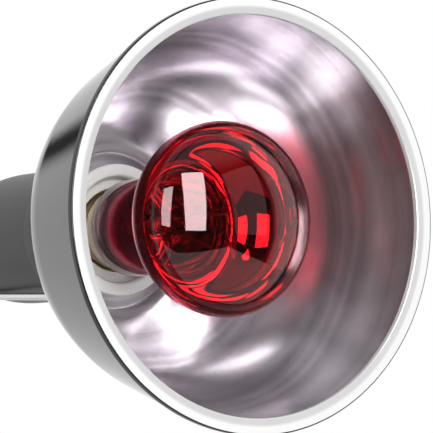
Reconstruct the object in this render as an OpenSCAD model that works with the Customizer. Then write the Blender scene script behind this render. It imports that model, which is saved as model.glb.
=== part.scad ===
// Reptile heat lamp: a lacquered reflector dome on a slim round holder, with a
// ruby infrared reflector bulb in a porcelain lampholder and a swinging wire bail.
// The lamp's axis is Z. The rim of the dome lies on z = 0 and the beam points down.

/* [Reflector dome] */
// Outer radius of the rolled rim
rim_r = 70; // [66:0.5:78]
// Width of the rolled rim, seen from the front
rim_band_w = 5.6; // [4.6:0.1:6.5]
// Height of the rolled rim
rim_band_h = 2.4; // [1.8:0.1:3.2]
// Fall of the inner half of the rim, from its outer half
rim_fall = 0.25; // [0:0.05:0.5]
// Rounding of the rim's edges
rim_round = 0.5; // [0.3:0.05:0.8]
// Radius at which the front cone meets the rear cone
shoulder_r = 55.5; // [52:0.5:60]
// Height of that shoulder above the rim
shoulder_z = 50; // [44:0.5:56]
// Rounding of the shoulder
shoulder_round = 60; // [30:1:70]
// Outer radius of the short neck that the dome ends in
dome_neck_r = 27.4; // [26.5:0.1:30]
// Depth of that neck
dome_neck_h = 2.6; // [2.2:0.1:4]
// Height of the dome, from the rim to the outside of its floor
dome_h = 86; // [82:0.5:94]
// Thickness of the spun aluminium
dome_wall = 0.8; // [0.5:0.05:1.2]

/* [Lampholder] */
// Radius of the porcelain flange that clamps the dome
flange_r = 22.2; // [21.6:0.1:24]
// Thickness of the porcelain flange
flange_h = 6.2; // [4:0.1:8]
// Radius of the porcelain body behind the flange
porcelain_r = 20; // [19.4:0.1:20.2]
// Length of the porcelain body behind the flange
porcelain_len = 32.8; // [31:0.1:38]
// Radius of the flange's mouth, round the neck of the bulb
mouth_r = 17.8; // [17:0.1:19]
// Depth of that mouth
mouth_h = 4; // [2:0.1:5]
// Depth of the bulb's centre contact behind the face of the flange
contact_depth = 24.4; // [24:0.1:25]
// Length of the threaded shell
shell_len = 18; // [14:0.5:18.5]
// Wall of the threaded shell and of the bulb's cap
sheet = 0.35; // [0.25:0.05:0.45]
// Width of the contact strips
strip_w = 4; // [3:0.1:4.6]
// Thickness of the contact strips
strip_t = 0.5; // [0.3:0.05:0.8]
// Thickness of the terminal plates
terminal_t = 1.2; // [0.8:0.1:2]
// Width of a terminal plate
terminal_w = 8; // [7:0.1:8.5]
// Length of a terminal plate
terminal_len = 13; // [12:0.5:14]

/* [Edison thread] */
// Threads to the inch
threads_per_inch = 7; // [6:1:9]
// Mean radius of the thread on the bulb's cap
thread_r = 12.6; // [12.4:0.05:12.8]
// Height of a thread, from root to crest
thread_h = 1; // [0.6:0.05:1.2]
// Radial play between the cap and the shell
thread_play = 0.3; // [0.25:0.05:0.4]

/* [Bulb] */
// Largest radius of the bulb
bulb_r = 31.75; // [30:0.25:33]
// Length of the bulb, from the front to the centre contact
bulb_len = 103; // [101:0.5:106]
// Distance of the widest place from the front
bulb_widest = 18.1; // [16:0.1:20]
// Rounding between the front and the widest place
bulb_front_round = 11; // [8:0.5:13]
// Rounding behind the widest place
bulb_back_round = 20; // [16:0.5:22]
// Radius of the glass neck
bulb_neck_r = 16.3; // [15.5:0.1:17]
// Fillet between the bulb's back and its neck
bulb_neck_fillet = 14; // [8:0.5:16]
// Thickness of the glass
glass = 0.8; // [0.5:0.05:1.1]
// Length of the cap with its contact
cap_len = 26.9; // [26:0.1:28]
// Radius of the plain skirt of the cap
cap_skirt_r = 13.3; // [13.1:0.05:13.8]
// Length of the plain skirt of the cap
cap_skirt_h = 3.4; // [2:0.1:4.5]
// Height of the black glass insulator
insulator_h = 3.6; // [2.8:0.1:4.5]
// Height of the centre contact
contact_h = 1.2; // [0.8:0.1:1.8]
// Radius of the arc in which the filament is hung
filament_arc_r = 8.5; // [6:0.5:10]
// Distance of the filament from the front of the bulb
filament_z = 27; // [22:0.5:32]
// Thickness of the coiled filament
filament_d = 0.9; // [0.6:0.1:1.4]
// Thickness of the lead wires in the press
lead_d = 0.8; // [0.7:0.1:1]
// Thickness of the lead wires between the press and the filament
lead_tip_d = 0.6; // [0.4:0.1:0.6]
// Thickness of the filament supports
support_d = 0.4; // [0.3:0.05:0.6]
// Distance of the stem's press from the front of the bulb
stem_z = 48; // [46:0.5:50]
// Width of the press
press_w = 11; // [9:0.5:14]
// Thickness of the press
press_t = 3.4; // [2.4:0.1:4]
// Length of the press
press_len = 10; // [8:0.5:12]

/* [Holder] */
// Outer radius of the housing
housing_r = 22.5; // [22:0.1:23.5]
// Sheet thickness of the housing and the collar
holder_wall = 0.9; // [0.6:0.05:1.1]
// Length of the collar behind the dome
collar_len = 17; // [15:0.5:24]
// Distance from the dome at which the housing begins to taper
taper_start = 47; // [40:0.5:50]
// Length of the tapered tail of the housing
tail_len = 31; // [26:0.5:36]
// Half length of the ellipse that the tail follows
tail_ellipse = 45.5; // [40:0.5:60]
// Rounding of the tail's edge
tail_edge = 2.5; // [1:0.25:3.5]
// Sheet thickness of the bridge inside the housing
bridge_t = 1.2; // [0.8:0.1:1.2]
// Width of the bridge
bridge_w = 10; // [8:0.5:11]

/* [Cable gland] */
// Radius of the threaded stem
gland_stem_r = 6; // [5.5:0.1:7]
// Width of the gland and its nuts across the flats
gland_flats = 17; // [16:0.5:18.5]
// Thickness of the gland's hexagonal flange
gland_hex_h = 3.4; // [2.5:0.1:4.5]
// Length of the gland's cap
gland_cap_h = 8.6; // [7.5:0.1:10]
// Radius of the rubber seal's bore, for the cord
cord_r = 3.4; // [2.8:0.1:3.6]
// Wall of the rubber seal
seal_wall = 1.1; // [0.8:0.1:1.3]
// Thickness of the lock nut inside the housing
locknut_h = 3.5; // [2.5:0.1:5]

/* [Wire bail] */
// Thickness of the wire
wire_d = 2.5; // [2:0.1:3]
// Gap between the wire and the collar
bail_gap = 1.45; // [1.2:0.05:2.5]
// Height of the bail, from its pivots to its bar
bail_h = 91; // [88:0.5:110]
// Rounding of the bail's corners
bail_corner = 10; // [6:0.5:12]
// Inner rounding of the half loop in the middle of the bar, where the hook sits
seat_r = 3.75; // [3:0.25:5]
// Rounding of the bends beside the half loop
seat_bend = 3; // [2.5:0.25:4]
// Distance of the pivots from the back of the dome
pivot_z = 11; // [9:0.5:12]
// Inward lean of the bail's legs, in degrees
bail_lean = 2.9; // [0:0.1:3.2]

/* [Screws and fits] */
// Radius of the M3 screws
screw_r = 1.5; // [1.25:0.05:1.75]
// Radius of the M3 heads
head_r = 2.8; // [2.4:0.1:3]
// Height of the M3 heads
head_h = 1.8; // [1.2:0.1:2]
// Length of the screws that hold the bridge to the porcelain
bridge_screw_len = 9; // [7:0.5:12]
// Length of the terminal screws
terminal_screw_len = 8; // [6:0.5:10]
// Play of a screw or a wire in its hole
running = 0.08; // [0.02:0.01:0.1]
// Play between pieces that slide into each other
slip = 0.1; // [0.05:0.05:0.2]
// Room round porcelain and other cast pieces
loose = 0.3; // [0.2:0.05:0.35]

/* [Hidden] */
$fn = 96;

// Finishes, as the photograph shows them
lacquer = [0.09, 0.09, 0.09];
bright = [0.8, 0.8, 0.82];
steel = [0.72, 0.72, 0.74];
brass = [0.8, 0.62, 0.3];
china = [0.94, 0.93, 0.9];
ruby = [0.5, 0.02, 0.05, 0.6];
nylon = [0.12, 0.12, 0.12];

// Heights along the lamp's axis
floor_z = dome_h - dome_wall;
porcelain_front = floor_z - flange_h;
porcelain_rear = floor_z + porcelain_len;
contact_z = porcelain_front + contact_depth;
bulb_z = contact_z - bulb_len;
tongue_z = contact_z + loose + strip_t;
chamber_z = contact_z + 2;
ledge_z = contact_z - 1.6;
shell_z = ledge_z - shell_len;
collar_z = dome_h;
housing_z = collar_z + holder_wall;
taper_z = dome_h + taper_start;
tail_z = taper_z + tail_len;
tail_in_z = tail_z - holder_wall;
pivot = dome_h + pivot_z;

// Radii that follow from the pieces inside
shell_mid_r = thread_r + thread_play + sheet;
shell_seat_r = shell_mid_r + thread_h / 2 + loose;
chamber_r = shell_seat_r - 3;
housing_in = housing_r - holder_wall;
collar_in = housing_r + slip;
collar_r = collar_in + holder_wall;
bridge_out = housing_in - slip;
bridge_in = bridge_out - bridge_t;
bridge_foot_z = pivot - 5;

// Thread
thread_pitch = 25.4 / threads_per_inch;
thread_sides = 24;
rings_per_turn = 8;

// Places on the back of the porcelain
contact_y = 3.5;
live_x = 9.6;
strip_x = shell_mid_r + 0.3;
side_foot = 2.6;
tongue_reach = 3;
terminal_x = 9;
terminal_screw_y = -3.5;
bridge_screw_y = 12;
wire_hole_r = 4;

// Cross recess of a screw's head
cross_w = 0.7;
cross_depth = 0.9;

// Bail
wire_r = wire_d / 2;
leg_x = collar_r + bail_gap + wire_r;
leg_top_x = leg_x - bail_h * tan(bail_lean);
wire_gap = 0.1;
wire_joint_r = wire_r + 0.02;
foot_bend = wire_r + 0.75;
stub_x = (housing_in + porcelain_r) / 2 + 0.1;

// Cable gland
gland_z = tail_z + gland_hex_h;
gland_top = gland_z + gland_cap_h;
gland_corner_r = gland_flats / 2 / cos(30);
gland_foot_z = tail_in_z - locknut_h - 2;
gland_collet_r = gland_stem_r + 0.6;
seal_r = cord_r + seal_wall;
seal_z = gland_z - 0.4;
seal_len = gland_cap_h - 2.6;

// Bulb, from its front
cap_z = bulb_len - cap_len;
cap_end = bulb_len - contact_h - insulator_h;
neck_tube_r = (cap_skirt_r - sheet) * cos(180 / thread_sides) - slip;
neck_end = cap_z - 1;
neck_close = 5;
glass_end = cap_z + cap_skirt_h - 0.5;
press_end = stem_z + press_len;
stem_tube_r = 4.2;
stem_rod_r = 1.3;
button_z = stem_z - 8;
button_r = 2.3;
button_h = 3;
button_root = 1;
lead_x = 2.4;
lead_end = cap_z + 18;
arc_gap = 50;
support_angles = [20, 90, 160];
filament_top = filament_z + filament_d / 2 + slip;

function unit(v) = v / norm(v);
function left_of(v) = [-v.y, v.x];
function reversed(list) = [for (i = [len(list) - 1:-1:0]) list[i]];

// The points of an arc round c, from angle a0 to a1
function arc(c, r, a0, a1, steps = 8) =
    [for (i = [0:steps]) let (a = a0 + (a1 - a0) * i / steps) c + r * [cos(a), sin(a)]];

// One corner of a path, replaced by an arc that touches both of its sides
function round_corner(before, corner, after, r, steps = 10) =
    let (
        u = unit(before - corner),
        w = unit(after - corner),
        half = acos(u * w) / 2,
        centre = corner + unit(u + w) * r / sin(half),
        start = corner + u * r / tan(half) - centre,
        turn = sign(u.y * w.x - u.x * w.y) * (180 - 2 * half),
        a0 = atan2(start.y, start.x)
    )
    arc(centre, r, a0, a0 + turn, steps);

// A path with rounded corners, each with a radius of its own
function rounded(path, radii) = [
    for (i = [0:len(path) - 1])
        each (radii[i] > 0 ? round_corner(path[i - 1], path[i], path[i + 1], radii[i]) : [path[i]])
];

// A path moved sideways by t, to the left of the way it runs
function moved(path, t) = [
    for (i = [0:len(path) - 1])
        let (
            back = unit(i > 0 ? path[i] - path[i - 1] : path[1] - path[0]),
            ahead = unit(i < len(path) - 1 ? path[i + 1] - path[i] : back),
            normal = unit(left_of(back) + left_of(ahead))
        )
        path[i] + normal * t / (normal * left_of(back))
];

// A bent strip of sheet along a path in the XZ plane, w wide in Y
module strip(path, t, w) {
    rotate([90, 0, 0])
        linear_extrude(w, center = true)
            polygon(concat(path, reversed(moved(path, t))));
}

// A round bar from one height to another
module bar(r, z0, z1) {
    translate([0, 0, z0])
        cylinder(r = r, h = z1 - z0);
}

// A tube
module pipe(r_out, r_in, z0, z1) {
    difference() {
        bar(r_out, z0, z1);
        bar(r_in, z0 - 1, z1 + 1);
    }
}

// A pan-head screw whose head sits on z = 0 and whose shank points down
module pan_screw(shank) {
    difference() {
        union() {
            bar(head_r, 0, head_h);
            bar(screw_r, -shank, 0);
        }
        for (turn = [0, 90])
            rotate(turn)
                translate([-head_r * 0.6, -cross_w / 2, head_h - cross_depth])
                    cube([head_r * 1.2, cross_w, cross_depth + 1]);
    }
}

// Two turns of place, on the two ends of a diameter
module both_sides(turn = 0) {
    for (side = [0, 180])
        rotate(turn + side)
            children();
}

// A tube of rings that carries a right-hand round thread. Each ring is
// [height, mean radius, thread amplitude]; the rings run once round the wall.
module thread_tube(rings) {
    count = len(rings);
    sides = thread_sides;
    points = [
        for (ring = rings, k = [0:sides - 1])
            let (
                a = 360 * k / sides,
                r = ring[1] + ring[2] * cos(a - 360 * ring[0] / thread_pitch)
            )
            [r * cos(a), r * sin(a), ring[0]]
    ];
    faces = [
        for (i = [0:count - 1], k = [0:sides - 1])
            let (
                next = (i + 1) % count,
                side = (k + 1) % sides,
                a = i * sides + k,
                b = i * sides + side,
                c = next * sides + side,
                d = next * sides + k
            )
            each [[a, d, c], [a, c, b]]
    ];
    polyhedron(points, faces, convexity = 6);
}

// The rings of a thread between two heights. It grows and fades at its ends, where
// a shell opens to its crests, with open at 1, and a cap closes to its roots, at -1.
function thread_rings(z0, z1, r, open) =
    let (steps = floor((z1 - z0) / thread_pitch * rings_per_turn))
    [for (i = [0:steps])
        let (grow = min(1, i / rings_per_turn * 2, (steps - i) / rings_per_turn * 2))
        [z0 + (z1 - z0) * i / steps, r + open * thread_h / 2 * (1 - grow), thread_h / 2 * grow]];

// Reflector dome

function dome_line() = [
    [rim_r - (rim_r - shoulder_r) * rim_band_h / 2 / shoulder_z, rim_band_h / 2],
    [shoulder_r, shoulder_z],
    [dome_neck_r, dome_h - dome_neck_h],
    [dome_neck_r, dome_h],
    [porcelain_r + loose, dome_h]
];

// The rim: sheet rolled flat, with its inner half a little lower than its outer half
function rim_line() =
    let (inner = rim_r - rim_band_w, middle = rim_r - rim_band_w / 2)
    rounded(
        [
            [middle, rim_band_h], [inner, rim_band_h], [inner, rim_fall],
            [middle, 0], [rim_r, 0], [rim_r, rim_band_h], [middle + 1, rim_band_h]
        ],
        [0, rim_round, rim_round, 0, rim_round, rim_round, 0]
    );

module reflector_dome() {
    neck_bend = 1;
    outside = rounded(dome_line(), [0, shoulder_round, neck_bend, neck_bend + dome_wall / 2, 0]);
    inside = rounded(
        moved(dome_line(), dome_wall),
        [0, shoulder_round - dome_wall, neck_bend + dome_wall, neck_bend - dome_wall / 2, 0]
    );
    color(lacquer)
        rotate_extrude() {
            polygon(concat(outside, reversed(inside)));
            polygon(rim_line());
        }
}

// Holder

module holder_collar() {
    color(lacquer)
        difference() {
            bar(collar_r, collar_z, collar_z + collar_len);
            bar(collar_in, housing_z, collar_z + collar_len + 1);
            bar(porcelain_r + loose, collar_z - 1, housing_z + 1);
            pivot_holes();
            housing_screw_holes();
        }
}

// The holes in which the bail's ends turn
module pivot_holes() {
    translate([0, 0, pivot])
        rotate([0, 90, 0])
            cylinder(r = wire_r + running, h = 2 * collar_r + 2, center = true);
}

// The holes for the two screws of the housing, a quarter turn from the pivots
module housing_screw_holes() {
    translate([0, 0, pivot])
        rotate([90, 0, 0])
            cylinder(r = screw_r + running, h = 2 * collar_r + 2, center = true);
}

// The tail's outline: a stretch of an ellipse, rounded into a flat end
function tail_outline(r, half_length, end_z, edge) =
    let (
        last = asin((end_z - taper_z) / half_length),
        curve = [for (i = [0:9]) let (a = last * i / 9) [r * cos(a), taper_z + half_length * sin(a)]]
    )
    concat(
        [for (i = [0:8]) curve[i]],
        round_corner(curve[8], curve[9], [0, end_z], edge, 6)
    );

module holder_housing() {
    stem_hole = gland_stem_r + slip;
    color(lacquer)
        difference() {
            rotate_extrude()
                polygon(concat(
                    [[stem_hole, tail_in_z]],
                    reversed(tail_outline(
                        housing_in, tail_ellipse - holder_wall, tail_in_z, tail_edge - holder_wall
                    )),
                    [[housing_in, housing_z], [housing_r, housing_z]],
                    tail_outline(housing_r, tail_ellipse, tail_z, tail_edge),
                    [[stem_hole, tail_z]]
                ));
            pivot_holes();
            housing_screw_holes();
        }
}

module housing_screws() {
    color(steel)
        both_sides(90)
            translate([collar_r, 0, pivot])
                rotate([0, 90, 0])
                    pan_screw(collar_r - bridge_in);
}

module lampholder_bridge() {
    color(steel)
        difference() {
            intersection() {
                difference() {
                    bar(bridge_out, bridge_foot_z, porcelain_rear + bridge_t);
                    bar(bridge_in, bridge_foot_z - 1, porcelain_rear);
                }
                translate([-bridge_w / 2, -bridge_out, bridge_foot_z])
                    cube([bridge_w, 2 * bridge_out, porcelain_rear + bridge_t - bridge_foot_z]);
            }
            housing_screw_holes();
            bar(wire_hole_r, porcelain_rear - 1, porcelain_rear + bridge_t + 1);
            bridge_screw_holes();
        }
}

// The holes by which the bridge is screwed to the porcelain
module bridge_screw_holes() {
    both_sides()
        translate([0, bridge_screw_y, 0])
            bar(screw_r + running, porcelain_rear - bridge_screw_len, porcelain_rear + bridge_t + 1);
}

module lampholder_screws() {
    color(steel)
        both_sides()
            translate([0, bridge_screw_y, porcelain_rear + bridge_t])
                pan_screw(bridge_screw_len);
}

// Lampholder

module lampholder_body() {
    color(china)
        difference() {
            union() {
                rotate_extrude()
                    polygon(rounded(
                        [
                            [mouth_r, porcelain_front + mouth_h],
                            [mouth_r, porcelain_front],
                            [flange_r, porcelain_front],
                            [flange_r, floor_z],
                            [mouth_r, floor_z]
                        ],
                        [0, 1, 1.4, 0, 0]
                    ));
                bar(porcelain_r, porcelain_front + mouth_h, porcelain_rear);
            }
            bar(shell_seat_r, porcelain_front, ledge_z);
            bar(chamber_r, porcelain_front, chamber_z);
            live_slot();
            neutral_slot();
            bridge_screw_holes();
            terminal_screw_holes();
        }
}

// Way for the live contact, from the chamber to the back of the porcelain
module live_slot() {
    translate([live_x - loose, contact_y - strip_w / 2 - loose, chamber_z - 1])
        cube([strip_t + 2 * loose, strip_w + 2 * loose, porcelain_rear]);
}

// Way for the side contact, from under the shell to the back of the porcelain
module neutral_slot() {
    translate([-strip_x - loose, contact_y - strip_w / 2 - loose, ledge_z - 1]) {
        cube([strip_t + 2 * loose, strip_w + 2 * loose, porcelain_rear]);
        cube([side_foot + loose, strip_w + 2 * loose, 1 + strip_t + loose]);
    }
}

module terminal_screw_holes() {
    both_terminals()
        translate([terminal_x + terminal_w / 2, terminal_screw_y, 0])
            bar(screw_r + running, porcelain_rear - terminal_screw_len, porcelain_rear + 1);
}

// The same place at the live and at the neutral terminal
module both_terminals() {
    children();
    mirror([1, 0, 0])
        children();
}

module screw_shell() {
    rings = thread_rings(shell_z + 1, ledge_z - 1, shell_mid_r, 1);
    lip_r = shell_mid_r + thread_h / 2;
    outer = concat([[shell_z, lip_r, 0]], rings, [[ledge_z, lip_r, 0]]);
    inner = [for (ring = reversed(outer)) [ring[0], ring[1] - sheet, ring[2]]];
    color(brass)
        thread_tube(concat(outer, inner));
}

// The tongue that meets the bulb's centre contact, and its leg to the live terminal
module centre_contact() {
    color(brass) {
        translate([0, contact_y, 0])
            strip(
                [
                    [live_x, porcelain_rear + terminal_t],
                    [live_x, chamber_z],
                    [tongue_reach, chamber_z],
                    [tongue_reach - 1, tongue_z],
                    [-tongue_reach, tongue_z]
                ],
                strip_t, strip_w
            );
        strip([[tongue_reach - 1.4, tongue_z], [-tongue_reach, tongue_z]], strip_t, 2 * contact_y);
    }
}

// The strip that meets the back of the shell, and runs on to the neutral terminal
module side_contact() {
    color(brass)
        translate([0, contact_y, 0])
            strip(
                [
                    [-strip_x + side_foot, ledge_z],
                    [-strip_x, ledge_z],
                    [-strip_x, porcelain_rear + terminal_t]
                ],
                -strip_t, strip_w
            );
}

module terminal_plate(slot_x) {
    color(brass)
        difference() {
            translate([terminal_x, -terminal_len / 2, porcelain_rear])
                cube([terminal_w, terminal_len, terminal_t]);
            translate([slot_x, contact_y - strip_w / 2 - slip, porcelain_rear - 1])
                cube([strip_t + 2 * slip, strip_w + 2 * slip, terminal_t + 2]);
            translate([terminal_x + terminal_w / 2, terminal_screw_y, 0])
                bar(screw_r + running, porcelain_rear - 1, porcelain_rear + terminal_t + 1);
        }
}

module live_terminal() {
    terminal_plate(live_x - slip);
}

module neutral_terminal() {
    mirror([1, 0, 0])
        terminal_plate(strip_x - strip_t - slip);
}

module terminal_screws() {
    color(steel)
        both_terminals()
            translate([terminal_x + terminal_w / 2, terminal_screw_y, porcelain_rear + terminal_t])
                pan_screw(terminal_screw_len);
}

// Cable gland

module hexagon(z0, z1) {
    translate([0, 0, z0])
        cylinder(r = gland_corner_r, h = z1 - z0, $fn = 6);
}

module gland_body() {
    color(nylon)
        difference() {
            union() {
                bar(gland_stem_r, gland_foot_z, tail_z);
                hexagon(tail_z, gland_z);
                bar(gland_collet_r, gland_z, gland_z + seal_len - 1);
            }
            bar(cord_r + loose, gland_foot_z - 1, gland_z);
            bar(seal_r + slip, seal_z, seal_z + seal_len + 1);
        }
}

module gland_seal() {
    color([0.2, 0.2, 0.2])
        pipe(seal_r, cord_r, seal_z, seal_z + seal_len);
}

module gland_cap() {
    color(nylon)
        difference() {
            intersection() {
                hexagon(gland_z, gland_top);
                rotate_extrude()
                    polygon(rounded(
                        [
                            [0, gland_z],
                            [gland_corner_r, gland_z],
                            [gland_corner_r, gland_top - 2],
                            [cord_r + 2, gland_top],
                            [0, gland_top]
                        ],
                        [0, 0, 3, 1, 0]
                    ));
            }
            bar(gland_collet_r + slip, gland_z - 1, gland_z + seal_len - 0.3);
            bar(cord_r + 0.2, gland_z - 1, gland_top + 1);
        }
}

module gland_locknut() {
    color(nylon)
        difference() {
            hexagon(tail_in_z - locknut_h, tail_in_z);
            bar(gland_stem_r + slip, tail_in_z - locknut_h - 1, tail_in_z + 1);
        }
}

// A bend of the bail's wire in the XZ plane
module wire_arc(centre, r, a0, a1) {
    translate([centre.x, 0, centre.y])
        rotate([90, 0, 0])
            rotate(a0)
                rotate_extrude(angle = a1 - a0, $fn = 64)
                    translate([r, 0])
                        circle(wire_r, $fn = 32);
}

// A straight stretch of the bail's wire in the XZ plane. A ball, a hair thicker than the wire,
// joins it at each end to the next piece
module wire_run(start, end) {
    way = end - start;
    translate([start.x, 0, start.y])
        rotate([0, atan2(way.x, way.y), 0]) {
            translate([0, 0, wire_gap])
                cylinder(r = wire_r, h = norm(way) - 2 * wire_gap, $fn = 32);
            sphere(wire_joint_r, $fn = 32);
            translate([0, 0, norm(way)])
                sphere(wire_joint_r, $fn = 32);
        }
}

// One half of the bail, with its pivot on z = 0
module bail_half() {
    seat = seat_r + wire_r;
    side = seat + seat_bend;
    foot_cut = foot_bend * tan(45 + bail_lean / 2);
    top_cut = bail_corner * tan(45 - bail_lean / 2);
    along = [-sin(bail_lean), cos(bail_lean)];
    foot = [leg_x, 0];
    top = [leg_top_x, bail_h];
    wire_run([housing_r, 0], [leg_x - foot_cut, 0]);
    // The end that turns in the collar is cut off square
    translate([stub_x, 0, 0])
        rotate([0, 90, 0])
            cylinder(r = wire_r, h = housing_r - stub_x - wire_gap, $fn = 32);
    wire_arc([leg_x - foot_cut, foot_bend], foot_bend, -90, bail_lean);
    wire_run(foot + along * foot_cut, top - along * top_cut);
    wire_arc([leg_top_x - top_cut, bail_h - bail_corner], bail_corner, bail_lean, 90);
    wire_run([side, bail_h], [leg_top_x - top_cut, bail_h]);
    // The half loop in the bar lies flat, so that the cord passes straight through it
    translate([0, 0, bail_h])
        rotate([-90, 0, 0]) {
            wire_arc([side, seat_bend], seat_bend, -180, -90);
            wire_arc([0, seat_bend], seat, 0, 90);
        }
}

module bail() {
    color(steel)
        translate([0, 0, pivot]) {
            bail_half();
            mirror([1, 0, 0])
                bail_half();
        }
}

// Bulb, drawn with its front on z = 0

// The outline of the glass, t inside its outer surface
function bulb_line(t) =
    let (
        widest = [bulb_r - bulb_front_round, bulb_widest],
        front_r = (pow(widest.x, 2) + pow(widest.y, 2) - pow(bulb_front_round, 2))
            / (2 * (widest.y - bulb_front_round)),
        front = [0, front_r],
        touch = atan2(widest.y - front.y, widest.x),
        back = [bulb_r - bulb_back_round, bulb_widest],
        reach = bulb_back_round + bulb_neck_fillet,
        neck = [
            bulb_neck_r + bulb_neck_fillet,
            bulb_widest + sqrt(pow(reach, 2) - pow(bulb_neck_r + bulb_neck_fillet - back.x, 2))
        ],
        lean = atan2(neck.y - back.y, neck.x - back.x)
    )
    concat(
        arc(front, front_r - t, -90, touch, 8),
        arc(widest, bulb_front_round - t, touch, 0, 6),
        arc(back, bulb_back_round - t, 0, lean, 10),
        arc(neck, bulb_neck_fillet + t, lean + 180, 180, 8),
        arc([bulb_neck_r - neck_close, neck_end - neck_close], neck_close - t, 0, 70, 6),
        [[neck_tube_r - t, neck_end], [neck_tube_r - t, glass_end]]
    );

module bulb_place() {
    translate([0, 0, bulb_z])
        children();
}

module bulb_envelope() {
    color(ruby)
        bulb_place()
            rotate_extrude()
                polygon(concat(bulb_line(0), reversed(bulb_line(glass))));
}

module bulb_cap() {
    skirt = [[cap_z, cap_skirt_r, 0], [cap_z + cap_skirt_h, cap_skirt_r, 0]];
    rings = thread_rings(cap_z + cap_skirt_h + 0.6, cap_end - 1, thread_r, -1);
    lip = [[cap_end, thread_r - 1.4, 0], [cap_end + 0.6, thread_r - 3, 0]];
    outer = [for (ring = concat(skirt, rings, lip)) [ring[0] + bulb_z, ring[1], ring[2]]];
    inner = [
        for (ring = reversed(outer))
            [ring[0] - (ring[0] > bulb_z + cap_end - 0.5 ? sheet : 0), ring[1] - sheet, ring[2]]
    ];
    color(bright)
        thread_tube(concat(outer, inner));
}

module bulb_insulator() {
    color([0.08, 0.08, 0.1])
        bulb_place()
            rotate_extrude()
                polygon([
                    [0, cap_end - 2],
                    [thread_r - 3.6, cap_end - 2],
                    [thread_r - 3.6, cap_end + 0.8],
                    [5.4, cap_end + insulator_h],
                    [0, cap_end + insulator_h]
                ]);
}

module bulb_contact() {
    foot_z = bulb_len - contact_h;
    color(steel)
        bulb_place()
            rotate_extrude()
                polygon(rounded(
                    [[0, foot_z], [4.6, foot_z], [4.6, bulb_len - 0.3], [3, bulb_len], [0, bulb_len]],
                    [0, 0, 0.4, 2, 0]
                ));
}

// The glass stem: a flare on the neck's end, a tube, the press that holds the wires
// and the button that holds the supports
module bulb_stem() {
    flare_r = neck_tube_r - glass - slip;
    flare_z = glass_end;
    color([0.8, 0.85, 0.85])
        bulb_place()
            difference() {
                union() {
                    rotate_extrude()
                        polygon([
                            [0, button_z - button_h / 2],
                            [button_r - 0.5, button_z - button_h / 2],
                            [button_r, button_z],
                            [button_r - 0.5, button_z + button_h / 2],
                            [stem_rod_r, button_z + button_h / 2 + 0.7],
                            [stem_rod_r, stem_z + 1],
                            [0, stem_z + 1]
                        ]);
                    rotate_extrude()
                        polygon(concat(
                            [[stem_tube_r - glass, press_end - 2], [stem_tube_r, press_end - 2]],
                            round_corner(
                                [stem_tube_r, press_end],
                                [stem_tube_r, flare_z - 1],
                                [flare_r, flare_z - 1],
                                6, 6
                            ),
                            [[flare_r, flare_z - 1], [flare_r, flare_z]],
                            round_corner(
                                [flare_r, flare_z],
                                [stem_tube_r - glass, flare_z],
                                [stem_tube_r - glass, press_end],
                                6 + glass, 6
                            )
                        ));
                    translate([-press_w / 2, -press_t / 2, stem_z])
                        cube([press_w, press_t, press_end - stem_z]);
                }
                for (side = [-1, 1])
                    translate([side * lead_x, 0, 0])
                        bar((lead_d + slip) / 2, stem_z - 1, press_end + 1);
                support_paths((support_d + slip) / 2);
            }
}

// A straight round wire between two points
module wire_between(start, end, r) {
    way = end - start;
    translate(start)
        rotate([0, acos(way.z / norm(way)), atan2(way.y, way.x)])
            cylinder(r = r, h = norm(way), $fn = 16);
}

// A place on the filament's arc
function on_arc(a) = filament_arc_r * [cos(a), sin(a)];

// A lead wire: straight through the press, then thinner on its way to the filament
module lead_wire(side) {
    end = on_arc(-90 + side * arc_gap);
    bend_z = stem_z - 0.8;
    translate([side * lead_x, 0, 0])
        bar(lead_d / 2, bend_z, lead_end, $fn = 16);
    wire_between([side * lead_x, 0, bend_z + lead_tip_d / 2], [end.x, end.y, filament_top], lead_tip_d / 2);
}

module lead_wires() {
    color(steel)
        bulb_place()
            for (side = [-1, 1])
                lead_wire(side);
}

// The ways of the supports, from the button to the filament
module support_paths(r) {
    for (a = support_angles)
        let (start = button_root * [cos(a), sin(a)], end = on_arc(a))
            wire_between([start.x, start.y, button_z], [end.x, end.y, filament_top], r);
}

module filament_supports() {
    color(steel)
        bulb_place()
            support_paths(support_d / 2);
}

module filament() {
    color([0.35, 0.33, 0.32])
        bulb_place()
            translate([0, 0, filament_z])
                rotate(-90 + arc_gap)
                    rotate_extrude(angle = 360 - 2 * arc_gap)
                        translate([filament_arc_r, 0])
                            circle(filament_d / 2, $fn = 16);
}

reflector_dome();
holder_collar();
holder_housing();
housing_screws();
lampholder_body();
screw_shell();
centre_contact();
side_contact();
live_terminal();
neutral_terminal();
terminal_screws();
lampholder_bridge();
lampholder_screws();
gland_body();
gland_seal();
gland_cap();
gland_locknut();
bail();
bulb_envelope();
bulb_cap();
bulb_insulator();
bulb_contact();
bulb_stem();
lead_wires();
filament_supports();
filament();
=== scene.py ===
"""Finishes, glass, studio light and camera for a reptile heat lamp.

The lamp's axis is Z. Its rim lies on z = 0 and its beam points down. The lamp's
sizes are in millimetres, and are turned into metres where a mesh is made or a
finish reads a place. The studio's sizes are in metres.
"""

import math

import bmesh
import bpy
from mathutils import Matrix, Vector

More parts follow.
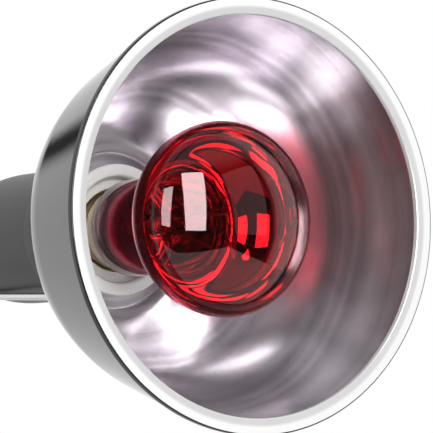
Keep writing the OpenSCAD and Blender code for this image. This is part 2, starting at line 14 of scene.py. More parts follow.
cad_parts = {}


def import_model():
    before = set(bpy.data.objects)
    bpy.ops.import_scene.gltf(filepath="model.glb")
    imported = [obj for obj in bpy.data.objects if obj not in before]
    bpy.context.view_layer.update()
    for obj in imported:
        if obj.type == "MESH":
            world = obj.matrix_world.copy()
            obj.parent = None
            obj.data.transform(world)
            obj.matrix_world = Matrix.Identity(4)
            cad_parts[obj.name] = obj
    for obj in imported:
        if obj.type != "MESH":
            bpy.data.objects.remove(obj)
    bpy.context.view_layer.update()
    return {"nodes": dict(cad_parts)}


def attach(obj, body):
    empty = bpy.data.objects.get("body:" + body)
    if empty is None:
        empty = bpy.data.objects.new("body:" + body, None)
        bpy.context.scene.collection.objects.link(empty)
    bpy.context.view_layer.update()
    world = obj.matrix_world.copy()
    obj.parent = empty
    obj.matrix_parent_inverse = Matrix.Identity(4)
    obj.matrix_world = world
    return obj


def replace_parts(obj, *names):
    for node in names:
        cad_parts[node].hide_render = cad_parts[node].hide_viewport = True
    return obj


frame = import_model()

MM = 0.001
WELD = 1e-7  # metres, between points that are one
AXIS = Vector((0, 0, 1))

# How many flat steps stand for a round
DOME_SIDES = 160
BULB_SIDES = 192
RIM_SIDES = 192
HOLDER_SIDES = 128
THREAD_SIDES = 96
RINGS_PER_TURN = 20
WIRE_SIDES = 24
COIL_SIDES = 6
COIL_STEPS = 10

# Reflector dome
RIM_R = 70
RIM_BAND = 5.6
RIM_MIDDLE = RIM_R - RIM_BAND / 2
RIM_H = 2.4
RIM_FALL = 0.25
RIM_ROUND = 0.5
RIM_CREST = 6
RIM_LAP = 1
RIM_SKIN = 0.15
SHOULDER_R = 55.5
SHOULDER_Z = 50
SHOULDER_ROUND = 60
DOME_NECK_R = 27.4
DOME_NECK_H = 2.6
NECK_BEND = 1
DOME_H = 86
DOME_WALL = 0.8
LACQUER_DEPTH = 0.3
DOME_HOLE_R = 20.3
LEAST_STRAIGHT = 0.05  # between a round and the end of its line

# Bulb, from its front
BULB_FRONT_Z = 0.4
BULB_R = 31.75
BULB_WIDEST = 18.1
FRONT_ROUND = 11
BACK_ROUND = 20
BULB_NECK_R = 16.3
NECK_FILLET = 14
GLASS = 0.8
NECK_END = 75.1
NECK_CLOSE = 5
NECK_CLOSE_TURN = 70
NECK_TUBE_R = 12.74
GLASS_END = 79
MIRROR_GAP = 0.03
MIRROR_T = 0.05
FILAMENT_ARC_R = 8.5
FILAMENT_Z = 27
FILAMENT_GAP = 50  # degrees, on each side of -Y
COIL_R = 0.36
COIL_WIRE_R = 0.09
COIL_PITCH = 0.36

# Edison thread, on the bulb's cap and in the lampholder's shell
THREAD_PITCH = 25.4 / 7
THREAD_H = 1
THREAD_LEAD = 1
SHEET = 0.35
CAP_R = 12.6
CAP_SKIRT_R = 13.3
CAP_SKIRT_H = 3.4
CAP_SKIRT_EDGE = 0.3
CAP_GROOVE = 0.6
CAP_Z = 76.5
CAP_END = 98.6
CAP_SHOULDER = 1.4
CAP_CROWN = 3
CAP_CROWN_H = 0.6
SHELL_R = 13.25
SHELL_Z = 83.8
SHELL_END = 101.8

# Holder
COLLAR_R = 23.5
COLLAR_IN = 22.6
COLLAR_END = 103
HOLDER_EDGE = 0.5
HOUSING_R = 22.5
HOUSING_Z = 86.9
HOLDER_WALL = 0.9
TAPER_Z = 133
TAIL_Z = 164
TAIL_ELLIPSE = 45.5
TAIL_EDGE = 2.5
STEM_HOLE_R = 6.1

# Bail
PIVOT_Z = 97
WIRE_R = 1.25
STUB_X = 20.9
LEG_X = 26.2
BAIL_H = 91
BAIL_LEAN = math.radians(2.9)
FOOT_BEND = 2
BAIL_CORNER = 10
SEAT_R = 5
SEAT_BEND = 3


# Outlines

def arc(centre, radius, start, end, steps=12):
    """Points of an arc in the section plane, with its angles in degrees."""
    turns = [math.radians(start + (end - start) * i / steps) for i in range(steps + 1)]
    across, up = centre
    return [
        Vector((across + radius * math.cos(turn), up + radius * math.sin(turn)))
        for turn in turns
    ]


def bend(before, corner, after, radius, steps=12):
    """An arc that touches both sides of a corner."""
    before, corner, after = Vector(before), Vector(corner), Vector(after)
    back, ahead = (before - corner).normalized(), (after - corner).normalized()
    half = back.angle(ahead) / 2
    centre = corner + (back + ahead).normalized() * radius / math.sin(half)
    start = corner + back * radius / math.tan(half) - centre
    leftwards = back.y * ahead.x - back.x * ahead.y
    turn = math.copysign(180 - math.degrees(2 * half), leftwards)
    first = math.degrees(math.atan2(start.y, start.x))
    return arc(centre, radius, first, first + turn, steps)


def rounded(corners, radii, steps=12):
    """An outline whose corners are rounded, each with a radius of its own."""
    line = []
    for i, (corner, radius) in enumerate(zip(corners, radii)):
        if radius:
            line += bend(corners[i - 1], corner, corners[i + 1], radius, steps)
        else:
            line.append(Vector(corner))
    return line


def beside(line, distance):
    """A line moved sideways, to the left of the way it runs."""
    moved = []
    for i, point in enumerate(line):
        back = (point - line[i - 1]).normalized() if i else None
        ahead = (line[i + 1] - point).normalized() if i < len(line) - 1 else back
        back = back or ahead
        normal = Vector((-back.y - ahead.y, back.x + ahead.x)).normalized()
        moved.append(point + normal * distance / normal.dot(Vector((-back.y, back.x))))
    return moved


def raised(line, height):
    """An outline moved up the axis."""
    return [Vector((point.x, point.y + height)) for point in line]


def dome_corners():
    """The corners of the dome's outer face, from the rim to the hole in its neck."""
    slope = (RIM_R - SHOULDER_R) / SHOULDER_Z
    return [
        Vector((RIM_R - slope * RIM_H / 2, RIM_H / 2)),
        Vector((SHOULDER_R, SHOULDER_Z)),
        Vector((DOME_NECK_R, DOME_H - DOME_NECK_H)),
        Vector((DOME_NECK_R, DOME_H)),
        Vector((DOME_HOLE_R, DOME_H)),
    ]


def dome_line(depth):
    """The dome's section, at a depth below its outer face."""
    edge = NECK_BEND + DOME_WALL / 2 - depth
    radii = [0, SHOULDER_ROUND - depth, NECK_BEND + depth, edge, 0]
    return rounded(beside(dome_corners(), depth), radii, steps=24)


# Stretches of the bulb's section: all of them, and those that carry the mirror film
WHOLE_BULB = slice(None)
BULB_BACK = slice(2, 5)


def bulb_line(depth, part=WHOLE_BULB):
    """The bulb's section from its front to the end of its neck, at a depth in the glass."""
    widest = Vector((BULB_R - FRONT_ROUND, BULB_WIDEST))
    front_r = (widest.length_squared - FRONT_ROUND ** 2) / (2 * (widest.y - FRONT_ROUND))
    touch = math.degrees(math.atan2(widest.y - front_r, widest.x))
    back = Vector((BULB_R - BACK_ROUND, BULB_WIDEST))
    across = BULB_NECK_R + NECK_FILLET - back.x
    upwards = math.sqrt((BACK_ROUND + NECK_FILLET) ** 2 - across ** 2)
    neck = Vector((BULB_NECK_R + NECK_FILLET, BULB_WIDEST + upwards))
    lean = math.degrees(math.atan2(neck.y - back.y, neck.x - back.x))
    closing = (BULB_NECK_R - NECK_CLOSE, NECK_END - NECK_CLOSE)
    stretches = [
        arc((0, front_r), front_r - depth, -90, touch, steps=20),
        arc(widest, FRONT_ROUND - depth, touch, 0, steps=14),
        arc(back, BACK_ROUND - depth, 0, lean, steps=16),
        arc(neck, NECK_FILLET + depth, lean + 180, 180, steps=12),
        arc(closing, NECK_CLOSE - depth, 0, NECK_CLOSE_TURN, steps=10),
        [Vector((NECK_TUBE_R - depth, NECK_END)), Vector((NECK_TUBE_R - depth, GLASS_END))],
    ]
    return [point for stretch in stretches[part] for point in stretch]


def tail_line(depth):
    """The housing's section from its taper to its flat end, at a depth below its outside."""
    end, edge = TAIL_Z - depth, TAIL_EDGE - depth
    radius, length = HOUSING_R - depth, TAIL_ELLIPSE - depth
    last = math.asin((end - TAPER_Z) / length)
    steps = 24
    turns = [last * i / steps for i in range(steps + 1)]
    curve = [Vector((radius * math.cos(a), TAPER_Z + length * math.sin(a))) for a in turns]
    # The round of the edge takes the place of the curve's last two points
    return curve[:-2] + bend(curve[-3], curve[-1], (0, end), edge, steps=10)


# Meshes

def finished(name, shape, material, body, crease=35):
    """The object of a finished bmesh, smooth but for its creases, on its body."""
    bmesh.ops.remove_doubles(shape, verts=shape.verts, dist=WELD)
    bmesh.ops.recalc_face_normals(shape, faces=shape.faces)
    mesh = bpy.data.meshes.new(name)
    shape.to_mesh(mesh)
    shape.free()
    mesh.shade_smooth()
    mesh.set_sharp_from_angle(angle=math.radians(crease))
    mesh.materials.append(material)
    piece = bpy.data.objects.new(name, mesh)
    bpy.context.scene.collection.objects.link(piece)
    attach(piece, body)
    return piece


def turned(outline, sides):
    """A bmesh turned on the lamp's axis from the closed outline of its section."""
    shape = bmesh.new()
    corners = [shape.verts.new((across * MM, 0, up * MM)) for across, up in outline]
    edges = [shape.edges.new(pair) for pair in zip(corners, corners[1:] + corners[:1])]
    bmesh.ops.spin(
        shape, geom=corners + edges, cent=(0, 0, 0), axis=AXIS, dvec=(0, 0, 0),
        angle=math.tau, steps=sides, use_merge=True, use_duplicate=False,
    )
    return shape


def threaded(rings):
    """A bmesh of rings, each with a height, a mean radius and the height of its thread."""
    shape = bmesh.new()
    loops = []
    for height, mean, amplitude in rings:
        loop = []
        for i in range(THREAD_SIDES):
            turn = math.tau * i / THREAD_SIDES
            radius = mean + amplitude * math.cos(turn - math.tau * height / THREAD_PITCH)
            place = Vector((radius * math.cos(turn), radius * math.sin(turn), height))
            loop.append(shape.verts.new(place * MM))
        loops.append(loop)
    for here, there in zip(loops, loops[1:] + loops[:1]):
        for i in range(THREAD_SIDES):
            shape.faces.new((here[i - 1], here[i], there[i], there[i - 1]))
    return shape


def thread_rings(start, end, mean, side):
    """The rings of a thread that grows from and fades into plain ends.

    Side is 1 where the plain ends lie outside the thread's mean radius, and -1
    where they lie inside it.
    """
    steps = int((end - start) / THREAD_PITCH * RINGS_PER_TURN)
    rings = []
    for i in range(steps + 1):
        height = start + (end - start) * i / steps
        grow = min(1, (height - start) / THREAD_PITCH * 2, (end - height) / THREAD_PITCH * 2)
        rings.append((height, mean + side * THREAD_H / 2 * (1 - grow), THREAD_H / 2 * grow))
    return rings


def swept(line, radius, sides):
    """A bmesh of round wire along a line in space."""
    shape = bmesh.new()
    loops = []
    side = (line[1] - line[0]).normalized().orthogonal()
    for i, point in enumerate(line):
        ahead = (line[min(i + 1, len(line) - 1)] - line[max(i - 1, 0)]).normalized()
        side = (side - ahead * side.dot(ahead)).normalized()
        over = ahead.cross(side)
        turns = [math.tau * k / sides for k in range(sides)]
        loops.append([
            shape.verts.new((point + (side * math.cos(a) + over * math.sin(a)) * radius) * MM)
            for a in turns
        ])
    for here, there in zip(loops, loops[1:]):
        for k in range(sides):
            shape.faces.new((here[k - 1], here[k], there[k], there[k - 1]))
    shape.faces.new(loops[0])
    shape.faces.new(loops[-1][::-1])
    return shape


# Shader nodes

class Field:
    """A value that changes over a surface. Arithmetic on it adds Math nodes."""

    def __init__(self, finish, socket):
        self.finish = finish
        self.socket = socket

    def output(self, name):
        """Another output of the same node."""
        return Field(self.finish, self.socket.node.outputs[name])

    def maths(self, operation, *others):
        """A Math node of this value and the others."""
        sockets = dict(enumerate((self, *others)))
        return self.finish.node("ShaderNodeMath", {"operation": operation}, sockets)

    def __add__(self, other):
        return self.maths("ADD", other)

    def __rsub__(self, other):
        return self.maths("MULTIPLY_ADD", -1, other)

    def __mul__(self, other):
        return self.maths("MULTIPLY", other)

    def __truediv__(self, other):
        return self.maths("DIVIDE", other)

    __radd__ = __add__
    __rmul__ = __mul__

    def held(self):
        """The value, held between 0 and 1."""
        return self.finish.node("ShaderNodeClamp", {}, {"Value": self})


class Finish:
    """The node tree of a material or of the world."""

    def __init__(self, owner):
        owner.use_nodes = True
        self.owner = owner
        self.tree = owner.node_tree
        self.tree.nodes.clear()

    def node(self, kind, settings, sockets, output=0):
        """Adds a node, with its settings first and then its sockets' values or links.

        A ramp's stops are a place and a colour each, and a single number is a grey.
        """
        made = self.tree.nodes.new(kind)
        for name, value in settings.items():
            if name == "stops":
                for stop, (place, shade) in zip(made.color_ramp.elements, value):
                    stop.position = place
                    stop.color = (*shade, 1) if isinstance(shade, tuple) else (shade,) * 3 + (1,)
            else:
                setattr(made, name, value)
        for name, value in sockets.items():
            if isinstance(value, Field):
                self.tree.links.new(value.socket, made.inputs[name])
            else:
                made.inputs[name].default_value = value
        return Field(self, made.outputs[output]) if made.outputs else None

    def place(self):
        """The place on the object, in metres."""
        return self.node("ShaderNodeTexCoord", {}, {}, "Object")

    def stretched(self, scale):
        """The place on the object, multiplied along each axis."""
        return self.node("ShaderNodeMapping", {}, {"Vector": self.place(), "Scale": scale})

    def cylinder(self):
        """Distance from the lamp's axis, and height, for what is turned on a lathe."""
        x = self.node("ShaderNodeSeparateXYZ", {}, {"Vector": self.place()})
        y, z = x.output("Y"), x.output("Z")
        return (x * x + y * y).maths("SQRT"), z

    def noise(self, scale, detail=3, roughness=0.5, distortion=0, where=None):
        """Soft noise over the object, or over other coordinates."""
        sockets = {"Vector": where or self.place(), "Scale": scale, "Detail": detail}
        sockets |= {"Roughness": roughness, "Distortion": distortion}
        return self.node("ShaderNodeTexNoise", {}, sockets)

    def rings(self, along, scale, detail, roughness):
        """Noise that changes along one value only."""
        sockets = {"W": along, "Scale": scale, "Detail": detail, "Roughness": roughness}
        return self.node("ShaderNodeTexNoise", {"noise_dimensions": "1D"}, sockets)

    def spread(self, value, low, high, new_low=0, new_high=1):
        """A value taken from one range to another, and held within it."""
        ends = {1: low, 2: high, 3: new_low, 4: new_high}
        return self.node("ShaderNodeMapRange", {"clamp": True}, {0: value, **ends})

    def shade(self, value, dark, light, low=0.3, high=0.7):
        """A colour between two, by where a value lies between its low and high ends."""
        stops = [(low, dark), (high, light)]
        return self.node("ShaderNodeValToRGB", {"stops": stops}, {"Fac": value})

    def mixed(self, share, below, above):
        """A colour that gives way to another."""
        # The node's colours are its sockets 6 and 7 and its output 2
        sockets = {"Factor": share, 6: below, 7: (*above, 1)}
        return self.node("ShaderNodeMix", {"data_type": "RGBA"}, sockets, 2)

    def bump(self, height, strength, distance):
        """The normal of a surface with a fine relief."""
        sockets = {"Height": height, "Strength": strength, "Distance": distance}
        return self.node("ShaderNodeBump", {}, sockets)

    def surface(self, **sockets):
        """Ends the tree of a material, and gives the material back."""
        named = {name.replace("_", " "): value for name, value in sockets.items()}
        shader = self.node("ShaderNodeBsdfPrincipled", {}, named)
        self.node("ShaderNodeOutputMaterial", {}, {"Surface": shader})
        return self.owner


def new_finish(name):
    """The empty tree of a new material."""
    return Finish(bpy.data.materials.new(name))


# Finishes

# Where a painted sheen on the rim starts and where it is full: a painted reflection makes the
# rim's outer half bright and leaves its inner half dull
RIM_PAINTED_SHEEN_START = RIM_MIDDLE - 0.8
RIM_PAINTED_SHEEN_FULL = RIM_MIDDLE + 0.2

# Along the bulb: where a colour starts, where it is whole, and the colour
NECK_TINTS = [(40, 50, (0.82, 0.12, 0.23)), (62.5, 65.5, (0.28, 0.17, 0.18))]


def polished_lining():
    """Spun aluminium, polished: soft clouds, rings left by the lathe and stray nicks."""
    f = new_finish("polished_lining")
    clouds = f.noise(18, detail=4, roughness=0.55, distortion=1.2)
    grain = f.stretched((1, 7, 1.5))
    scratches = f.noise(42, detail=6, roughness=0.75, distortion=0.6, where=grain)
    nicks = f.spread(scratches, 0.68, 0.78)
    radius, height = f.cylinder()
    along = radius * 2 + height + 0.004 * f.noise(14, detail=1)
    spun = f.rings(along, scale=130, detail=6, roughness=0.6)
    dim, bright = (0.42, 0.385, 0.42), (0.80, 0.765, 0.80)
    return f.surface(
        Base_Color=f.shade(spun * 0.6 + clouds * 0.4, dim, bright, low=0.38, high=0.62),
        Metallic=0.9,
        Roughness=0.14 + 0.07 * spun + 0.05 * nicks,
        Normal=f.bump(spun, strength=0.04, distance=0.0002),
    )


def rim_metal():
    """The rolled rim, with a painted reflection that makes the level outer half it stands on
    brighter.
    """
    f = new_finish("rim_metal")
    dull = f.noise(60, detail=4)
    radius = f.cylinder()[0]
    # Painted reflection: the rim's outer half is painted brighter than its inner half
    painted_sheen = f.spread(radius, RIM_PAINTED_SHEEN_START * MM, RIM_PAINTED_SHEEN_FULL * MM, new_high=0.75)
    return f.surface(
        Base_Color=f.shade(dull * 0.25 + painted_sheen, 0.66, 0.94, low=0.1, high=0.85),
        Metallic=0.55,
        Roughness=0.2 + 0.1 * dull,
    )


def gloss_lacquer():
    """Deep black lacquer with a faint orange peel."""
    f = new_finish("gloss_lacquer")
    peel = f.noise(260, detail=2)
    dust = f.spread(f.noise(900, detail=2, roughness=0.6), 0.62, 0.8)
    return f.surface(
        Base_Color=f.shade(f.noise(30), (0.006, 0.006, 0.007), 0.011),
        Roughness=0.07 + 0.06 * dust,
        IOR=1.5,
        Normal=f.bump(peel, strength=0.03, distance=0.0003),
    )


def satin_lacquer():
    """Satin black powder coat with a fine grain."""
    f = new_finish("satin_lacquer")
    grain = f.noise(1500, roughness=0.6)
    worn = f.noise(40, detail=4, roughness=0.6)
    return f.surface(
        Base_Color=f.shade(worn, (0.026, 0.026, 0.027), 0.036),
        Roughness=0.36 + 0.12 * worn,
        IOR=1.5,
        Normal=f.bump(grain, strength=0.12, distance=0.0001),
    )


def drawn_metal(name, shade, rough):
    """Bright metal with the fine marks of drawing or turning."""
    f = new_finish(name)
    marks = f.noise(500, detail=4, roughness=0.6, where=f.stretched((1, 1, 0.06)))
    bright, dim = tuple(c * 1.06 for c in shade), tuple(c * 0.9 for c in shade)
    return f.surface(
        Base_Color=f.shade(marks, dim, bright),
        Metallic=1.0,
        Roughness=rough + 0.12 * marks,
        Normal=f.bump(marks, strength=0.05, distance=0.0001),
    )


def pressed_brass():
    """Brass sheet with a little tarnish."""
    f = new_finish("pressed_brass")
    tarnish = f.noise(120, detail=5, roughness=0.6, distortion=0.8)
    return f.surface(
        Base_Color=f.shade(tarnish, (0.55, 0.36, 0.13), (0.83, 0.62, 0.27), high=0.65),
        Metallic=1.0,
        Roughness=0.18 + 0.22 * tarnish,
        Normal=f.bump(tarnish, strength=0.06, distance=0.0002),
    )


def glazed_porcelain():
    """White porcelain under a clear glaze, with a few pinholes."""
    f = new_finish("glazed_porcelain")
    body = f.noise(70)
    pinholes = f.spread(f.noise(700, detail=2), 0.72, 0.8)
    return f.surface(
        Base_Color=f.shade(body, (0.95, 0.94, 0.92), (0.98, 0.97, 0.95)),
        Roughness=0.16 + 0.3 * pinholes,
        Coat_Weight=0.5,
        Coat_Roughness=0.05,
        Normal=f.bump(body, strength=0.05, distance=0.0004),
    )


def moulded(name, dark, light, rough):
    """A black moulded plastic or rubber with a fine spark texture."""
    f = new_finish(name)
    spark = f.noise(2200, roughness=0.6)
    return f.surface(
        Base_Color=f.shade(f.noise(90), dark, light),
        Roughness=rough + 0.12 * spark,
        IOR=1.48,
        Normal=f.bump(spark, strength=0.15, distance=0.0001),
    )


def blown_glass(name, thin, thick, waves, tints=()):
    """Blown glass with faint cords in it, and other colours further along."""
    f = new_finish(name)
    cords = f.noise(24, detail=2, distortion=0.5, where=f.stretched((1, 1, 0.4)))
    colour = f.shade(cords, thick, thin, low=0.35, high=0.65)
    for start, whole, tint in tints:
        share = f.spread(f.cylinder()[1], start * MM, whole * MM)
        colour = f.mixed(share, colour, tint)
    return f.surface(
        Base_Color=colour,
        Roughness=0.0,
        IOR=1.58,
        Transmission_Weight=1.0,
        Normal=f.bump(cords, strength=waves, distance=0.0004),
    )


def mirror_coat():
    """The aluminium film on the inside of the bulb's back."""
    f = new_finish("mirror_coat")
    haze = f.noise(35, detail=4, roughness=0.6)
    return f.surface(
        Base_Color=f.shade(haze, 0.86, 0.93),
        Metallic=1.0,
        Roughness=0.02 + 0.06 * haze,
    )


def black_glass():
    """The black glass between the cap and its contact."""
    f = new_finish("black_glass")
    swirl = f.noise(200, distortion=1.0)
    return f.surface(
        Base_Color=f.shade(swirl, (0.010, 0.009, 0.012), (0.02, 0.018, 0.024)),
        Roughness=0.08 + 0.1 * swirl,
        IOR=1.55,
    )


def pale_floor():
    """The pale paint of the studio's floor."""
    f = new_finish("pale_floor")
    return f.surface(Base_Color=f.shade(f.noise(3, detail=2), 0.86, 0.9), Roughness=0.8)


LINING = polished_lining()
RIM = rim_metal()
LACQUER = gloss_lacquer()
SATIN = satin_lacquer()
WIRE = drawn_metal("bright_wire", (0.72, 0.72, 0.73), 0.16)
PLATED = drawn_metal("plated_steel", (0.66, 0.66, 0.68), 0.24)
TUNGSTEN = drawn_metal("tungsten_wire", (0.26, 0.25, 0.25), 0.35)
CAP_SHEET = drawn_metal("cap_sheet", (0.60, 0.52, 0.41), 0.28)
SOLDER = drawn_metal("solder", (0.55, 0.55, 0.57), 0.36)
BRASS = pressed_brass()
PORCELAIN = glazed_porcelain()
NYLON = moulded("black_nylon", dark=0.018, light=0.03, rough=0.36)
RUBBER = moulded("black_rubber", dark=0.012, light=0.022, rough=0.6)
RUBY = blown_glass(
    "ruby_glass", thin=(0.6, 0.062, 0.08), thick=(0.52, 0.042, 0.066), waves=0.05,
    tints=NECK_TINTS,
)
CLEAR = blown_glass(
    "stem_glass", thin=(0.93, 0.96, 0.95), thick=(0.86, 0.9, 0.89), waves=0.15
)
MIRROR = mirror_coat()
BLACK_GLASS = black_glass()
FLOOR_PAINT = pale_floor()


# Pieces

def reflector():
    """The dome, lacquered outside and polished inside, and its rolled rim."""
    parting = dome_line(LACQUER_DEPTH)
    outside = turned(dome_line(0) + parting[::-1], DOME_SIDES)
    lacquer = finished("dome_lacquer", outside, LACQUER, "lamp")
    inside = turned(parting + dome_line(DOME_WALL)[::-1], DOME_SIDES)
    finished("dome_lining", inside, LINING, "lamp")

    lap, inner, foot = (RIM_MIDDLE + RIM_LAP, RIM_H), RIM_R - RIM_BAND, (RIM_R - RIM_ROUND, 0)
    skin = rounded(
        [lap, (RIM_R, RIM_H), (RIM_R, 0), foot],
        [0, RIM_ROUND, RIM_ROUND - LEAST_STRAIGHT, 0], steps=8,
    )
    under = beside(skin, -RIM_SKIN)
    edge = turned(skin + under[::-1], RIM_SIDES)
    finished("rim_lacquer", edge, LACQUER, "lamp")
    front = rounded(
        [lap, (inner, RIM_H), (inner, RIM_FALL), (RIM_MIDDLE, 0), foot],
        [0, RIM_ROUND, RIM_ROUND, RIM_CREST, 0], steps=10,
    )
    roll = turned(front + under[::-1], RIM_SIDES)
    finished("rolled_rim", roll, RIM, "lamp")
    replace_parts(lacquer, "reflector_dome")


def bulb():
    """The ruby glass, and the mirror film inside its back."""
    wall = raised(bulb_line(0) + bulb_line(GLASS)[::-1], BULB_FRONT_Z)
    glass = finished("bulb_glass", turned(wall, BULB_SIDES), RUBY, "bulb")
    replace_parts(glass, "bulb_envelope")
    gap = GLASS + MIRROR_GAP
    film = bulb_line(gap, BULB_BACK) + bulb_line(gap + MIRROR_T, BULB_BACK)[::-1]
    coat = turned(raised(film, BULB_FRONT_Z), BULB_SIDES)
    finished("bulb_mirror", coat, MIRROR, "bulb")


def threaded_cap():
    """The bulb's cap, rolled from sheet, from its skirt to its crown."""
    skirt = CAP_Z + CAP_SKIRT_H
    outside = [
        (CAP_Z, CAP_SKIRT_R, 0),
        (skirt - CAP_SKIRT_EDGE, CAP_SKIRT_R, 0),
        (skirt, CAP_SKIRT_R - CAP_SKIRT_EDGE, 0),
        *thread_rings(skirt + CAP_GROOVE, CAP_END - THREAD_LEAD, CAP_R, -1),
        (CAP_END, CAP_R - CAP_SHOULDER, 0),
        (CAP_END + CAP_CROWN_H, CAP_R - CAP_CROWN, 0),
    ]
    inside = [
        (height - SHEET if height >= CAP_END else height, mean - SHEET, amplitude)
        for height, mean, amplitude in reversed(outside)
    ]
    shape = threaded(outside + inside)
    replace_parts(finished("threaded_cap", shape, CAP_SHEET, "bulb"), "bulb_cap")


def threaded_shell():
    """The brass shell that the bulb's cap screws into."""
    lip = SHELL_R + THREAD_H / 2
    outside = [
        (SHELL_Z, lip, 0),
        *thread_rings(SHELL_Z + THREAD_LEAD, SHELL_END - THREAD_LEAD, SHELL_R, 1),
        (SHELL_END, lip, 0),
    ]
    inside = [(height, mean - SHEET, amplitude) for height, mean, amplitude in reversed(outside)]
    shape = threaded(outside + inside)
    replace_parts(finished("threaded_shell", shape, BRASS, "lamp"), "screw_shell")


def holder():
    """The collar and the housing, with the soft edges that lacquer has."""
    ring = rounded(
        [
            (COLLAR_IN, COLLAR_END), (COLLAR_IN, HOUSING_Z), (DOME_HOLE_R, HOUSING_Z),
            (DOME_HOLE_R, DOME_H), (COLLAR_R, DOME_H), (COLLAR_R, COLLAR_END),
            (COLLAR_IN, COLLAR_END),
        ],
        [0, 0, 0, 0, HOLDER_EDGE, HOLDER_EDGE, 0], steps=6,
    )
    collar = finished("collar", turned(ring, HOLDER_SIDES), SATIN, "lamp")
    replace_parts(collar, "holder_collar")
    start = [(HOUSING_R - HOLDER_WALL, HOUSING_Z), (HOUSING_R, HOUSING_Z)]
    outside = tail_line(0) + [(STEM_HOLE_R, TAIL_Z)]
    inside = [(STEM_HOLE_R, TAIL_Z - HOLDER_WALL)] + tail_line(HOLDER_WALL)[::-1]
    wall = turned(start + outside + inside, HOLDER_SIDES)
    housing = finished("housing", wall, SATIN, "lamp")
    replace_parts(housing, "holder_housing")


def wire_bail():
    """One piece of bent wire, from pivot to pivot."""
    top = LEG_X - BAIL_H * math.tan(BAIL_LEAN)
    seat_start = SEAT_R + SEAT_BEND
    leg = rounded(
        [(STUB_X, 0), (LEG_X, 0), (top, BAIL_H), (seat_start, BAIL_H)],
        [0, FOOT_BEND, BAIL_CORNER, 0], steps=16,
    )
    seat = arc((seat_start, SEAT_BEND), SEAT_BEND, 270, 180)[1:]
    seat += arc((0, SEAT_BEND), SEAT_R, 0, 90, steps=20)[1:]
    half = [Vector((point.x, 0, PIVOT_Z + point.y)) for point in leg]
    half += [Vector((point.x, point.y, PIVOT_Z + BAIL_H)) for point in seat]
    line = half + [Vector((-point.x, point.y, point.z)) for point in half[-2::-1]]
    wire = swept(line, WIRE_R, WIRE_SIDES)
    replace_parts(finished("wire_bail", wire, WIRE, "bail"), "bail")


def coil_filament():
    """The tungsten coil, hung in an arc."""
    start, end = math.radians(FILAMENT_GAP - 90), math.radians(270 - FILAMENT_GAP)
    steps = int(FILAMENT_ARC_R * (end - start) / COIL_PITCH) * COIL_STEPS
    line = []
    for i in range(steps + 1):
        along = start + (end - start) * i / steps
        twist = math.tau * i / COIL_STEPS
        radius = FILAMENT_ARC_R + COIL_R * math.cos(twist)
        height = BULB_FRONT_Z + FILAMENT_Z + COIL_R * math.sin(twist)
        line.append(Vector((radius * math.cos(along), radius * math.sin(along), height)))
    wire = swept(line, COIL_WIRE_R, COIL_SIDES)
    coil = finished("filament_coil", wire, TUNGSTEN, "bulb", crease=80)
    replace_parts(coil, "filament")


def dress(material, *nodes):
    """Gives a finish to nodes whose shape stays as it is."""
    for name in nodes:
        mesh = frame["nodes"][name].data
        mesh.materials.clear()
        mesh.materials.append(material)
        mesh.polygons.foreach_set("material_index", [0] * len(mesh.polygons))


def dress_nodes():
    """Finishes for the nodes that no finer piece replaces."""
    dress(PORCELAIN, "lampholder_body")
    dress(BRASS, "centre_contact", "side_contact", "live_terminal", "neutral_terminal")
    dress(PLATED, "housing_screws", "terminal_screws", "lampholder_bridge", "lampholder_screws")
    dress(PLATED, "lead_wires")
    dress(NYLON, "gland_body", "gland_cap", "gland_locknut")
    dress(RUBBER, "gland_seal")
    dress(SOLDER, "bulb_contact")
    dress(BLACK_GLASS, "bulb_insulator")
    dress(CLEAR, "bulb_stem")
    dress(TUNGSTEN, "filament_supports")


# Camera: where the photograph was taken from

LENS_MM = 313.9
SENSOR_MM = 36
CLIP_END = 50
EYE = (-0.0130, -0.0003, 1.2)  # right, up and near
OFF_AXIS = math.radians(34.908)  # between the beam and the line to the camera
TILT = math.radians(5.92)  # of the lamp's axis, in the picture
TURN = math.radians(50.5)  # of the lamp about its axis


def picture_axes():
    """The picture's right, up and towards-the-camera directions, in the lamp's frame."""
    sideways = Vector((math.cos(TURN), math.sin(TURN), 0))
    upright = Vector((-math.sin(TURN), math.cos(TURN), 0))
    across, along = math.cos(OFF_AXIS), math.sin(OFF_AXIS)
    level, fall = math.cos(TILT), math.sin(TILT)
    shown = [
        (sideways, (-across * level, -across * fall, along)),
        (upright, (-fall, level, 0)),
        (AXIS, (-along * level, -along * fall, -across)),
    ]
    return [sum((axis * place[i] for axis, place in shown), Vector()) for i in range(3)]


RIGHT, UP, NEAR = picture_axes()


def studio(right, up, near):
    """A direction or place, given as the picture shows it."""
    return RIGHT * right + UP * up + NEAR * near


def stand(name, data, place, across, upright, away):
    """Puts a camera or a light at a place. It looks against the direction away."""
    made = bpy.data.objects.new(name, data)
    turn = Matrix((across, upright, away)).transposed().to_4x4()
    made.matrix_world = Matrix.Translation(place) @ turn
    bpy.context.scene.collection.objects.link(made)
    return made


def camera():
    """The camera that takes the photograph's view."""
    data = bpy.data.cameras.new("camera")
    data.lens = LENS_MM
    data.sensor_width = SENSOR_MM
    data.clip_end = CLIP_END
    bpy.context.scene.camera = stand("camera", data, studio(*EYE), RIGHT, UP, NEAR)


# Studio

# Each softbox: its name, its place as right, up and near, its width and height,
# and its power in watts
SOFTBOXES = [
    ("key_light", (0.43, 0.565, 1.6), (0.57, 1.6), 30),
    ("second_light", (-0.5, 0.4, 1.45), (0.7, 1.0), 15),
    ("side_light", (0.86, 0.28, 0.40), (0.6, 0.9), 0.65),
]

# What falls on the lamp from all round, besides the softboxes
FILL_LEVEL = 0.78

# The room that metal and glass reflect: dark, with a dim ceiling, white behind
# the lamp. Each edge is where a direction's share upwards or nearwards starts
# to count, and where it counts in full
ROOM_LEVEL = 0.03
CEILING_LEVEL = 0.4
CEILING_EDGE = (0.66, 0.8)
BEHIND_EDGE = (0.04, -0.12)

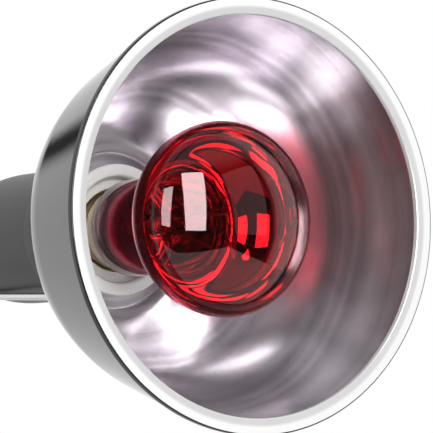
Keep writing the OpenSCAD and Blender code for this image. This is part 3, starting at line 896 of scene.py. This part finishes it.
# A black flag behind the lamp, as wide and high as it looks at a distance of 1
FLAG_PLACE = (-0.428, 0.166, -0.886)
FLAG_WIDTH = 0.11
FLAG_HEIGHT = 0.08
FLAG_SOFT = 0.03
FLAG_DARKNESS = 0.97

FLOOR_DEPTH = 4.5
FLOOR_REACH = 10


def softbox(name, place, size, power):
    """A soft light that faces the lamp."""
    data = bpy.data.lights.new(name, "AREA")
    data.shape = "RECTANGLE"
    data.size, data.size_y = size
    data.energy = power
    place = studio(*place)
    away = place.normalized()
    across = UP.cross(away).normalized()
    stand(name, data, place, across, away.cross(across), away)


def world():
    """White where the camera looks, and a plain studio for what the metal and glass reflect."""
    sky = bpy.data.worlds.new("studio")
    bpy.context.scene.world = sky
    f = Finish(sky)
    way = f.node("ShaderNodeTexCoord", {}, {}, "Generated")

    def along(axis):
        """How much of the ray's direction lies along an axis."""
        ends = {0: way, 1: axis}
        return f.node("ShaderNodeVectorMath", {"operation": "DOT_PRODUCT"}, ends, "Value")

    def within(distance, size):
        """1 across the flag, and 0 past its soft edge."""
        outer, inner = size / 2 + FLAG_SOFT, size / 2 - FLAG_SOFT
        return f.spread(distance.maths("ABSOLUTE"), outer, inner)

    behind = f.spread(along(NEAR), *BEHIND_EDGE)
    ceiling = f.spread(along(UP), *CEILING_EDGE, ROOM_LEVEL, CEILING_LEVEL)
    middle = studio(*FLAG_PLACE).normalized()
    side = UP.cross(middle).normalized()
    ahead = along(middle).maths("MAXIMUM", 0.001)  # never 0, for the division
    across, upwards = along(side) / ahead, along(middle.cross(side)) / ahead
    flag = within(across, FLAG_WIDTH) * within(upwards, FLAG_HEIGHT)
    room = (ceiling * (1 - behind) + behind) * (1 - FLAG_DARKNESS * flag)

    camera_ray = f.node("ShaderNodeLightPath", {}, {}, "Is Camera Ray")
    glossy_ray = camera_ray.output("Is Glossy Ray")
    mirror_ray = (glossy_ray + camera_ray.output("Is Transmission Ray")).held()
    plain = mirror_ray * room + (1 - mirror_ray) * FILL_LEVEL
    level = camera_ray + (1 - camera_ray) * plain
    shader = f.node("ShaderNodeBackground", {}, {"Color": (1, 1, 1, 1), "Strength": level})
    f.node("ShaderNodeOutputWorld", {}, {"Surface": shader})


def floor():
    """A pale floor, well below the lamp as the picture shows it."""
    shape = bmesh.new()
    corners = [(-1, -1), (1, -1), (1, 1), (-1, 1)]
    shape.faces.new([
        shape.verts.new(studio(x * FLOOR_REACH, -FLOOR_DEPTH, y * FLOOR_REACH))
        for x, y in corners
    ])
    shape.normal_update()
    mesh = bpy.data.meshes.new("floor")
    shape.to_mesh(mesh)
    shape.free()
    mesh.materials.append(FLOOR_PAINT)
    ground = bpy.data.objects.new("floor", mesh)
    bpy.context.scene.collection.objects.link(ground)


def render_settings():
    """Plain colours, and enough bounces for glass inside a polished dome."""
    scene = bpy.context.scene
    scene.view_settings.view_transform = "Standard"
    scene.cycles.glossy_bounces = 8
    scene.cycles.transmission_bounces = 16
    scene.cycles.max_bounces = 20


camera()
reflector()
holder()
wire_bail()
bulb()
threaded_cap()
threaded_shell()
coil_filament()
dress_nodes()
for box in SOFTBOXES:
    softbox(*box)
world()
floor()
render_settings()

bpy.context.view_layer.update()
